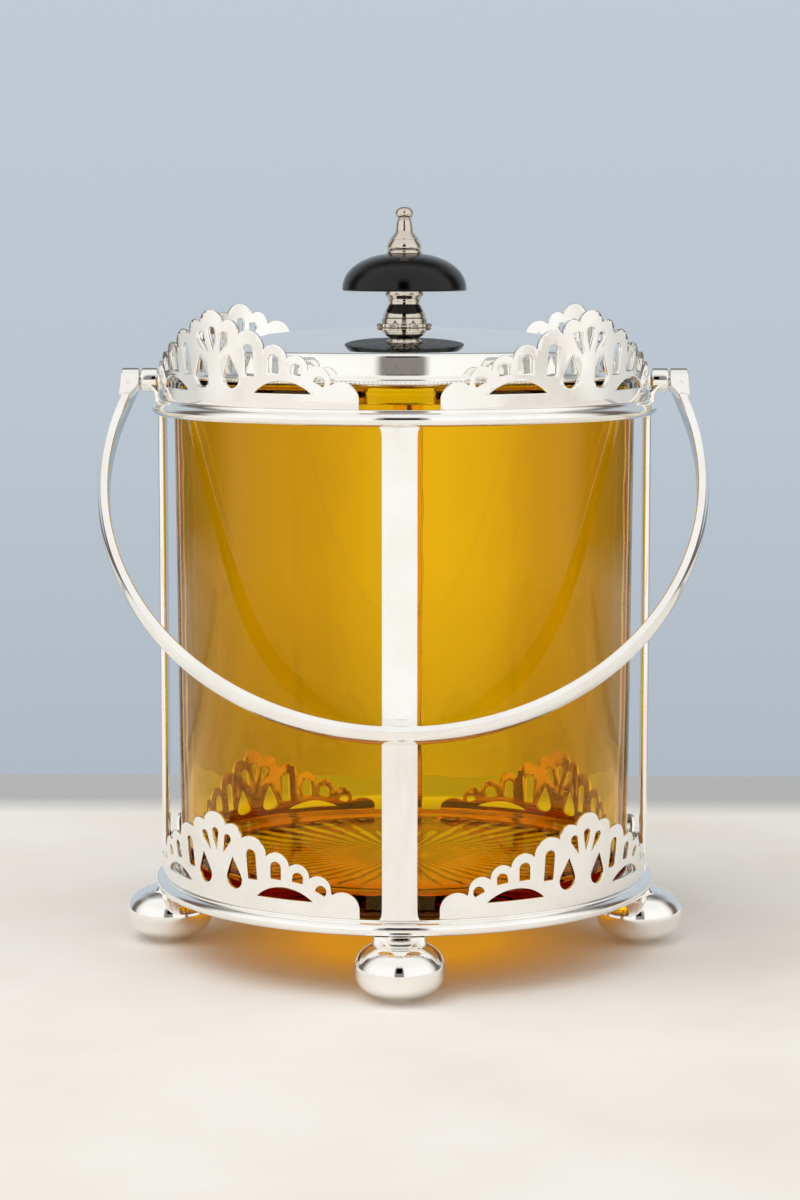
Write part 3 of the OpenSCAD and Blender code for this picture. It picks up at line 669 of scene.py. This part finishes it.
# The tumbler's outline, from the middle underneath round the rim to the middle of the floor. The
# push is the hollow underneath, as (radius, height above the base).
def linerProfile():
    z, top = liner["baseZ"], liner["rimZ"]
    lip = liner["wall"] / 2
    push = [(r, z + rise) for r, rise in liner["push"]]
    outside = roundCorners(push + [(liner["baseR"], z), (liner["rimR"], top - lip)],
                           [0, 6, 2, liner["corner"], 0], step=8)
    lipArc = arc((liner["rimR"] - lip, top - lip), lip, 0, 180, 16)
    inR = liner["rimR"] - liner["wall"]
    inBase = liner["baseR"] - liner["wall"]
    floorZ = z + liner["floor"]
    inside = roundCorners([(inR, top - lip), (inBase, floorZ), (0, floorZ + 0.3)],
                          [0, liner["inCorner"], 0], step=8)
    wallOut = outside[-1:] + (outside[-2:-1] - outside[-1:]) * np.linspace(1, 0, 24)[:, None]
    wallIn = inside[:1] + (inside[1:2] - inside[:1]) * np.linspace(0, 1, 24)[:, None]
    radial = np.linspace(0, 1, 16)[:, None]
    first = outside[0] + (outside[1] - outside[0]) * radial
    last = inside[-2] + (inside[-1] - inside[-2]) * radial
    return np.concatenate([first[:-1], outside[1:-2], wallOut[:-1], lipArc, wallIn[1:], inside[2:-2], last])


# Radial flutes pressed into the underside: z rises by depth * (1 - |cos(angle * flutes / 2)|)
# between the ribs and fades towards the middle and the corner.
def fluteRipple(r, z, a):
    edge = liner["baseR"] - liner["fluteEdge"]
    under = (z < liner["baseZ"] + 2.2) & (r < edge)
    fade = (np.clip((r - liner["fluteIn"]) / liner["fluteGrow"], 0, 1)
            * np.clip((edge - r) / liner["fluteFade"], 0, 1))
    wave = 1 - np.abs(np.cos(a * liner["flutes"] / 2))
    return r, z + np.where(under, liner["fluteDepth"] * fade * wave, 0)


points, faces = revolve(linerProfile(), 384, ripple=fluteRipple)
addPiece("glassLiner", points, faces, glass, "liner", ["glass_liner"], sharp=60)
print("liner made")

lid = {"z": 164.9, "bandR": 66.3, "flangeR": 67.7, "flangeH": 1.9, "edgeZ": 173.3, "edgeR": 1.2,
       "top": 178.5, "sheet": 1.2, "collarR": 61.4, "collarIn": 60.2, "collarLow": 159.4,
       "beads": 345, "beadR": 0.55, "beadZ": 165.45}


# The shell's outline from the middle on top, over the edge and band to the flange and back
# inside. The dome is an arc that runs tangent into the rounded edge, so its radius is
# (run^2 + (rise + edge)^2 - edge^2) / (2 * rise).
def lidProfile():
    run = lid["bandR"] - lid["edgeR"]
    rise = lid["top"] - lid["edgeZ"]
    edge = lid["edgeR"]
    domeR = (run ** 2 + (rise + edge) ** 2 - edge ** 2) / (2 * rise)
    r = np.linspace(0, run * domeR / (domeR - edge), 40)
    dome = np.stack([r, lid["top"] - domeR + np.sqrt(domeR ** 2 - r ** 2)], axis=1)
    rounded = arc((run, lid["edgeZ"] - edge), edge, math.degrees(math.acos(r[-1] / domeR)), 0, 8)[1:]
    z, band, flange, collar = lid["z"], lid["bandR"], lid["flangeR"], lid["collarR"] + 0.1
    shelf = z + lid["flangeH"]
    rim = roundCorners([(band, lid["edgeZ"] - edge), (band, shelf + 0.7), (band + 0.35, shelf),
                        (flange - 0.35, shelf), (flange - 0.1, z + 1.2), (flange - 0.5, z + 0.55),
                        (flange - 0.5, z), (collar, z), (collar, lid["edgeZ"] - 3.0)],
                       [0, 0.5, 0.3, 0.5, 0.3, 0.2, 0.3, 0.2, 0])[1:]
    under = np.stack([r, lid["top"] - domeR - lid["sheet"] + np.sqrt(domeR ** 2 - r ** 2)], axis=1)[::-1]
    under = under[under[:, 0] < lid["collarR"] - 1]
    return np.concatenate([dome, rounded, rim, [(lid["collarR"], lid["edgeZ"] - 1.0)], under])


points, faces = revolve(lidProfile(), 288)
addPiece("lidDome", points, faces, silverPlate, "lid", ["lid_dome"])

collarTop = lid["z"] + lid["sheet"]
profile = roundCorners([(lid["collarIn"], collarTop), (lid["collarIn"], lid["collarLow"]),
                        (lid["collarR"], lid["collarLow"]), (lid["collarR"], collarTop)],
                       [0.2, 0.3, 0.3, 0.2], closed=True)
points, faces = revolve(profile, 192, closed=True)
addPiece("lidCollar", points, faces, silverPlate, "lid", ["lid_collar"])


# The beaded wire: a ring whose section swells to a bead and pinches to a neck again and again;
# its radius is bead * (0.35 + 0.65 * sqrt(|sin|)) of the angle times half the bead count.
def beadedWire():
    steps = lid["beads"] * 6
    a = np.linspace(0, 2 * math.pi, steps, endpoint=False)
    swell = lid["beadR"] * (0.35 + 0.65 * np.sqrt(np.abs(np.sin(a * lid["beads"] / 2))))
    t = np.radians(np.arange(0, 360, 45))
    r = lid["flangeR"] - 0.1 + swell[:, None] * np.cos(t)[None, :]
    z = lid["beadZ"] + swell[:, None] * np.sin(t)[None, :]
    points = np.stack([r * np.cos(a)[:, None], r * np.sin(a)[:, None], z], axis=2).reshape(-1, 3)
    return points, gridFaces(steps, 8, wrapRows=True, wrapColumns=True)


points, faces = beadedWire()
addPiece("beadWire", points, faces, silverPlate, "lid", ["lid_bead_wire"], sharp=50)
print("lid made")

# The turned pieces are chains of (radius, height above their foot), with the radius that rounds
# each corner.
knob = {
    "z": 178.5,
    # round body, groove, bell, neck and flare
    "pedestal": [(0, 0), (6.45, 0), (6.45, 2.6), (6.0, 2.75), (6.15, 3.0), (5.95, 4.1), (4.9, 5.8),
                 (4.45, 6.5), (4.4, 7.4), (4.55, 8.0), (5.35, 9.1), (5.42, 10.3), (0, 10.3)],
    "pedestalRounds": [0, 0.2, 0.5, 0.1, 0.2, 2.5, 2.5, 0.6, 0.8, 0.5, 0.4, 0.1, 0],
    "knurlR": 7.9, "knurlIn": 6.4, "knurlH": 1.1, "teeth": 20, "depth": 0.6,
    "underMushroom": 188.8, "mushroomR": 17.8, "mushroomTop": 199.4, "fullness": 2.25,
    "bead": [(0, 0), (5.0, 0), (5.0, 0.75), (4.5, 0.8), (4.72, 1.05), (4.92, 1.7), (4.9, 2.4),
             (4.6, 3.1), (4.25, 3.7), (4.1, 4.0), (0, 4.0)],
    "beadRounds": [0, 0.15, 0.15, 0.05, 0.3, 0.8, 0.8, 0.8, 0.4, 0.1, 0],
    # cone, tapered stem and its groove
    "stem": [(0, 0), (4.05, 0), (4.05, 0.25), (2.7, 2.0), (2.5, 2.3), (2.1, 5.3), (1.8, 5.55),
             (2.0, 5.8)],
    "stemRounds": [0, 0.1, 0.3, 0.3, 0.4, 0.2, 0.1, 0],
    "ballR": 2.58, "ballLow": 5.6, "tip": 212.6,
}


# The outline of a turned piece: its chain with rounded corners, set at a height.
def turnedProfile(chain, rounds, z, closed=False):
    return roundCorners(chain, rounds, closed=closed) + np.array([0, z])


points, faces = revolve(turnedProfile(knob["pedestal"], knob["pedestalRounds"], knob["z"]), 128)
addPiece("pedestal", points, faces, nickelPlate, "lid", ["knob_pedestal"], sharp=50)


# Teeth round the collar: where -cos(angle * teeth) passes 0.2, the radius drops by depth * 3 times
# the rest, held at the depth, so that the teeth keep flat tops.
def knurlRipple(r, z, a):
    dip = np.clip((-0.2 - np.cos(a * knob["teeth"])) * 3, 0, 1)
    return r - np.where(r > knob["knurlR"] - 0.5, knob["depth"] * dip, 0), z


chain = [(knob["knurlIn"], 0), (knob["knurlR"], 0), (knob["knurlR"], knob["knurlH"]),
         (knob["knurlIn"], knob["knurlH"])]
profile = turnedProfile(chain, [0, 0.2, 0.2, 0], knob["z"], closed=True)
points, faces = revolve(profile, knob["teeth"] * 16, closed=True, ripple=knurlRipple)
addPiece("knurl", points, faces, nickelPlate, "lid", ["knob_knurl"], sharp=50)


# The mushroom: (x / r)^n + (y / h)^n = 1 over a flat underside, with a small rounded rim.
def mushroomProfile():
    r, h = knob["mushroomR"], knob["mushroomTop"] - knob["underMushroom"]
    t = np.radians(np.linspace(90, 4, 46))
    power = 2 / knob["fullness"]
    top = np.stack([r * np.cos(t).clip(0) ** power, (h + 0.3) * np.sin(t) ** power], axis=1)
    top = top[top[:, 1] < h - 0.01]
    rim = roundCorners([top[-1], (r, 0.35), (r - 0.5, 0), (r - 3, 0)], [0, 0.3, 0.3, 0])[1:]
    shape = np.concatenate([[(0, h), (4.0, h)], top, rim, [(5.6, 0.0), (0, 0)]])
    return shape + np.array([0, knob["underMushroom"]])


points, faces = revolve(mushroomProfile(), 160)
addPiece("mushroom", points, faces, phenolic, "lid", ["knob_mushroom"], sharp=50)

points, faces = revolve(turnedProfile(knob["bead"], knob["beadRounds"], knob["mushroomTop"]), 96)
addPiece("knobBead", points, faces, nickelPlate, "lid", ["knob_bead"], sharp=50)


# The finial: the stem, then a ball a little flat on top: r cos(t)^0.8 across, half * sin(t) up.
def finialProfile():
    z = knob["mushroomTop"] + knob["bead"][-1][1]
    stem = turnedProfile(knob["stem"], knob["stemRounds"], z)
    half = (knob["tip"] - z - knob["ballLow"]) / 2
    t = np.radians(np.linspace(-48, 90, 28))
    r = knob["ballR"] * np.cos(t).clip(0) ** 0.8
    return np.concatenate([stem, np.stack([r, knob["tip"] - half + half * np.sin(t)], axis=1)])


points, faces = revolve(finialProfile(), 96)
addPiece("finialTop", points, faces, nickelPlate, "lid", ["finial"], sharp=50)
print("knob made")

# The hidden stud, washer, nut and pins keep the shapes of their solids.
plainNodes = {"knob_stud": nickelPlate, "lid_washer": silverPlate, "lid_nut": silverPlate,
              "pivot_pin_left": silverPlate, "pivot_pin_right": silverPlate}
for nodeName, material in plainNodes.items():
    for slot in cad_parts[nodeName].material_slots:
        slot.material = material
print("plain nodes dressed")

# The table, in metres: cloth up to clothBack, and behind it the bare board. Under the jar is painted
# light, a golden patch in the cloth's colour and emission, full within the inner radius of the middle and
# gone at the outer radius.
table = {
    "cloth": "#F9F6F0",
    "clothShade": "#F2EDE5",
    "board": "#BDBEBE",
    # painted light under the jar: its colour, how strongly the cloth gives it off, and where it is full and
    # where it is gone
    "paintedGlow": "#E6A124", "paintedGlowStrength": 0.6, "paintedGlowIn": 0.025, "paintedGlowOut": 0.085,
    "side": 0.9, "front": -0.5, "back": 0.268, "clothBack": 0.19, "clothFade": 0.03,
    "mottleScale": 14.0,  # soft patches about 70 mm
    "grainScale": 900.0,  # threads about 1 mm apart
    "grainDepth": 0.0002,
}


# Pale woven cotton: a fine grain and soft mottling keep it from looking like paper, and the painted
# board behind it reads as a cooler grey. Under the jar is painted light: the cloth turns golden and gives
# off light as if lit through the glass, by a share of (remapped distance) ^ 2.
def tableCloth():
    material, tree = newMaterial("creamTableCloth")
    place = addNode(tree, "TexCoord").outputs["Object"]
    axes = addNode(tree, "SeparateXYZ", {"Vector": place}).outputs
    mottle = addNode(tree, "TexNoise", {
        "Vector": place, "Scale": table["mottleScale"], "Detail": 3.0, "Roughness": 0.5})
    shaded = addNode(tree, "MapRange", {"Value": mottle, "From Min": 0.35, "From Max": 0.7})
    bare = addNode(tree, "MapRange", {
        "Value": axes["Y"], "From Min": table["clothBack"],
        "From Max": table["clothBack"] + table["clothFade"]})
    squareX = addNode(tree, "Math", {0: axes["X"], 1: axes["X"]}, operation="MULTIPLY")
    squareY = addNode(tree, "Math", {0: axes["Y"], 1: axes["Y"]}, operation="MULTIPLY")
    squares = addNode(tree, "Math", {0: squareX, 1: squareY}, operation="ADD")
    distance = addNode(tree, "Math", {0: squares}, operation="SQRT")
    # painted light: full near the middle under the jar, falling to nothing further out, then squared
    near = addNode(tree, "MapRange", {
        "Value": distance, "From Min": table["paintedGlowIn"], "From Max": table["paintedGlowOut"],
        "To Min": 1.0, "To Max": 0.0})
    paintedPool = addNode(tree, "Math", {0: near, 1: near}, operation="MULTIPLY")
    # the last mix paints the golden light under the jar into the cloth's colour
    tint = hexColour(table["cloth"])
    for share, colour in ((shaded, "clothShade"), (bare, "board"), (paintedPool, "paintedGlow")):
        tint = addNode(tree, "Mix", {
            0: share, 6: tint, 7: hexColour(table[colour])}, data_type="RGBA").outputs[2]
    grain = addNode(tree, "TexNoise", {
        "Vector": place, "Scale": table["grainScale"], "Detail": 2.0, "Roughness": 0.6})
    bump = addNode(tree, "Bump", {"Height": grain, "Strength": 0.15, "Distance": table["grainDepth"]})
    # painted light: the cloth gives off golden light under the jar, though it is no lamp
    light = addNode(tree, "Math", {0: paintedPool, 1: table["paintedGlowStrength"]}, operation="MULTIPLY")
    shader = addNode(tree, "BsdfPrincipled", {
        "Base Color": tint, "Roughness": 0.9, "Specular IOR Level": 0.1, "Normal": bump,
        "Emission Color": hexColour(table["paintedGlow"]), "Emission Strength": light})
    addNode(tree, "OutputMaterial", {"Surface": shader})
    return material


# A flat four-sided piece of the stage.
def stagePlane(name, corners, material):
    mesh = bpy.data.meshes.new(name)
    mesh.from_pydata(corners, [], [(0, 1, 2, 3)])
    mesh.materials.append(material)
    plane = bpy.data.objects.new(name, mesh)
    bpy.context.scene.collection.objects.link(plane)
    return plane


w, b, f = table["side"], table["back"], table["front"]
stagePlane("table", [(-w, f, 0), (w, f, 0), (w, b, 0), (-w, b, 0)], tableCloth())

# A large soft lamp above, in front and to the left, which faces the jar.
lamp = {"place": Vector((-0.35, -0.45, 1.3)), "aim": Vector((0, 0, 0.1)), "size": 1.1, "power": 6.5,
        "colour": "#FFFFFF"}
softbox = bpy.data.lights.new("topSoftbox", "AREA")
softbox.shape = "RECTANGLE"
softbox.size = softbox.size_y = lamp["size"]
softbox.energy = lamp["power"]
softbox.color = hexColour(lamp["colour"])[:3]
lampHolder = bpy.data.objects.new("topSoftbox", softbox)
lampHolder.location = lamp["place"]
lampHolder.rotation_euler = (lamp["aim"] - lamp["place"]).to_track_quat("-Z", "Y").to_euler()
lampHolder.visible_glossy = False
bpy.context.scene.collection.objects.link(lampHolder)

screen = {"half": 0.13, "y": -0.95, "low": 0.25, "high": 0.75, "colour": "#0C0B0B", "fleck": "#171514",
          "fleckScale": 20.0}


# Black felt on the screen behind the camera, which shows only as the dark upright mark in the
# polished metal.
def blackFelt():
    material, tree = newMaterial("blackFelt")
    place = addNode(tree, "TexCoord").outputs["Object"]
    flecks = addNode(tree, "TexNoise", {
        "Vector": place, "Scale": screen["fleckScale"], "Detail": 2.0, "Roughness": 0.5})
    tint = addNode(tree, "Mix", {
        0: flecks, 6: hexColour(screen["colour"]), 7: hexColour(screen["fleck"])},
        data_type="RGBA").outputs[2]
    shader = addNode(tree, "BsdfPrincipled", {
        "Base Color": tint, "Roughness": 1.0, "Specular IOR Level": 0.0})
    addNode(tree, "OutputMaterial", {"Surface": shader})
    return material


w, y, low, high = screen["half"], screen["y"], screen["low"], screen["high"]
darkScreen = stagePlane("darkScreen", [(-w, y, high), (w, y, high), (w, y, low), (-w, y, low)], blackFelt())
for use in ("visible_camera", "visible_diffuse", "visible_transmission", "visible_shadow"):
    setattr(darkScreen, use, False)
print("table, lamp and screen made")

# The room by direction, with an azimuth from 0 at the back to 1 at the front. Round the horizon are
# the pale wall, a dark doorway, a bright window and the dim place of the camera; above is a white
# ceiling, dim at the back; below are the floor and, lower still, the window sill. Glass shows a
# sunlit wall instead, darker low down. The camera itself sees only the wall.
daylight = {
    "around": [(0.0, "#C3CCD5"), (0.28, "#BCC5CF"), (0.34, "#6E645C"), (0.41, "#6E645C"), (0.48, "#ECE9E4"),
               (0.56, "#FFFFFD"), (0.925, "#FFFFFD"), (0.945, "#8A8582"), (1.0, "#8A8582")],
    "floor": [(0.0, "#A5AFB9"), (0.12, "#9AA5AF"), (0.2, "#6E6861"), (0.42, "#6E6861"), (0.5, "#FCFAF6"),
              (1.0, "#FCFAF6")],
    "sill": [(0.0, "#A5AFB9"), (0.12, "#9AA5AF"), (0.2, "#D2D3D2"), (0.38, "#DAD9D6"), (0.5, "#FCFAF6"),
             (1.0, "#FCFAF6")],
    "through": [(0.0, "#F0E1D4"), (0.01, "#E5D5C8"), (0.02, "#CDB9AB"), (0.06, "#BAADA2"), (0.2, "#98A0A6"),
                (0.34, "#6E6056"), (0.45, "#BFB4A8"), (1.0, "#DCD2C6")],
    "wall": [(0.0, "#AEB8C2"), (0.5, "#BCC6D0"), (1.0, "#C1CBD5")],
}
ceiling = {"front": "#F6F5F3", "back": "#74726F"}
lowShade = "#3A2A20"
# What each share follows, where it starts and ends, and its values there.
spans = {
    "ceiling": ("Z", 0.5, 0.8, 0.0, 1.0),
    "ceilingBack": ("Y", 0.1, 0.45, 0.0, 1.0),
    "floor": ("Z", -0.05, -0.02, 1.0, 0.0),
    "sill": ("Z", -0.12, -0.1, 1.0, 0.0),
    "lowShade": ("Z", -0.165, -0.11, 0.3, 0.0),
    "wall": ("Z", -0.2, 0.1, 0.0, 1.0),
    "windows": ("azimuth", 0.45, 0.6, 0.0, 0.5),
}

world = bpy.data.worlds.new("room")
bpy.context.scene.world = world
world.use_nodes = True
tree = world.node_tree
tree.nodes.clear()
rays = addNode(tree, "LightPath").outputs
direction = addNode(tree, "TexCoord").outputs["Generated"]
axes = addNode(tree, "SeparateXYZ", {"Vector": direction}).outputs
sideways = addNode(tree, "Math", {0: axes["X"]}, operation="ABSOLUTE")
angle = addNode(tree, "Math", {0: sideways, 1: axes["Y"]}, operation="ARCTAN2")
azimuth = addNode(tree, "Math", {0: angle, 1: math.pi}, operation="DIVIDE")
follows = {"Y": axes["Y"], "Z": axes["Z"], "azimuth": azimuth}
shares = {name: addNode(tree, "MapRange", {
    "Value": follows[what], "From Min": start, "From Max": end, "To Min": atStart, "To Max": atEnd})
    for name, (what, start, end, atStart, atEnd) in spans.items()}
ramps = {}
for name, stops in daylight.items():
    place = shares["wall"] if name == "wall" else azimuth
    ramps[name] = addNode(tree, "ValToRGB", {"Fac": place})
    elements = ramps[name].color_ramp.elements
    while len(elements) < len(stops):
        elements.new(0.5)
    for element, (position, colour) in zip(elements, stops):
        element.position = position
        element.color = hexColour(colour)
overhead = addNode(tree, "Mix", {
    0: shares["ceilingBack"], 6: hexColour(ceiling["front"]), 7: hexColour(ceiling["back"])},
    data_type="RGBA").outputs[2]
throughGlass = rays["Is Transmission Ray"]
shaded = addNode(tree, "Math", {0: shares["lowShade"], 1: throughGlass}, operation="MULTIPLY")
beyond = addNode(tree, "Mix", {
    0: shaded, 6: ramps["through"], 7: hexColour(lowShade)}, data_type="RGBA").outputs[2]
tone = ramps["around"]
for share, colour in ((shares["ceiling"], overhead), (shares["floor"], ramps["floor"]),
                      (shares["sill"], ramps["sill"]), (throughGlass, beyond)):
    tone = addNode(tree, "Mix", {0: share, 6: tone, 7: colour}, data_type="RGBA").outputs[2]
extra = addNode(tree, "Math", {0: throughGlass, 1: shares["windows"]}, operation="MULTIPLY")
strength = addNode(tree, "Math", {0: extra, 1: 1.0}, operation="ADD")
light = addNode(tree, "Background", {"Color": tone, "Strength": strength})
wall = addNode(tree, "Background", {"Color": ramps["wall"], "Strength": 1.0})
both = addNode(tree, "MixShader", {0: rays["Is Camera Ray"], 1: light, 2: wall})
addNode(tree, "OutputWorld", {"Surface": both})

# The camera's distance and place are in metres, its angles in degrees.
view = {"distance": 0.825, "down": 6.804, "azimuth": 1.1, "lens": 86.33, "side": -0.00124, "height": 0.1985}
camera = bpy.data.cameras.new("camera")
camera.sensor_fit = "AUTO"
camera.sensor_width = 36.0
camera.lens = view["lens"]
camera.clip_start = 0.01
cameraHolder = bpy.data.objects.new("camera", camera)
turn = math.radians(view["azimuth"])
cameraHolder.location = (view["side"] + view["distance"] * math.sin(turn),
                         -view["distance"] * math.cos(turn), view["height"])
cameraHolder.rotation_euler = (math.pi / 2 - math.radians(view["down"]), 0, turn)
bpy.context.scene.collection.objects.link(cameraHolder)
bpy.context.scene.camera = cameraHolder
bpy.context.scene.view_settings.view_transform = "Standard"
print("stage made")
